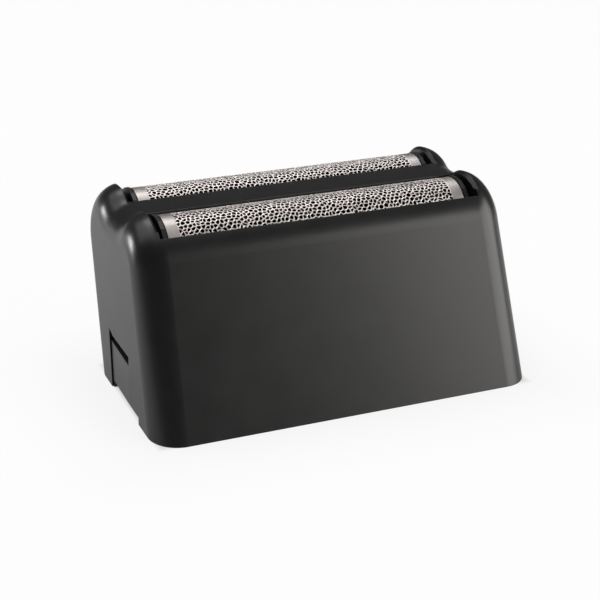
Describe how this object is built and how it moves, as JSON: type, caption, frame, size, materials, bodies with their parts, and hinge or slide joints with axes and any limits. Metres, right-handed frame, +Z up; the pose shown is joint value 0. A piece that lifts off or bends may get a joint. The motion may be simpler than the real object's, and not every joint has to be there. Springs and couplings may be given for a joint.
{
  "type": "shaver foil head",
  "caption": "Leaning shaver head with long arched perforated foils side by side between rounded cheeks, an open skirt below and snap fingers that clip onto a shaver's neck.",
  "frame": {"origin": "middle of the head's box, on the plane of the skirt's lower rim", "axes": "+X along the foils, -Y towards the front face that leans back, +Z up towards the foils"},
  "size_m": [0.059, 0.0374, 0.0287],
  "materials": {
    "housing_plastic": "satin moulded",
    "foil_steel": "satin",
    "carrier_plastic": "satin moulded"
  },
  "bodies": {
    "root": {"housing": "housing_plastic", "front_foil": "foil_steel", "rear_foil": "foil_steel", "front_carrier": "carrier_plastic", "rear_carrier": "carrier_plastic"}
  },
  "joints": []
}
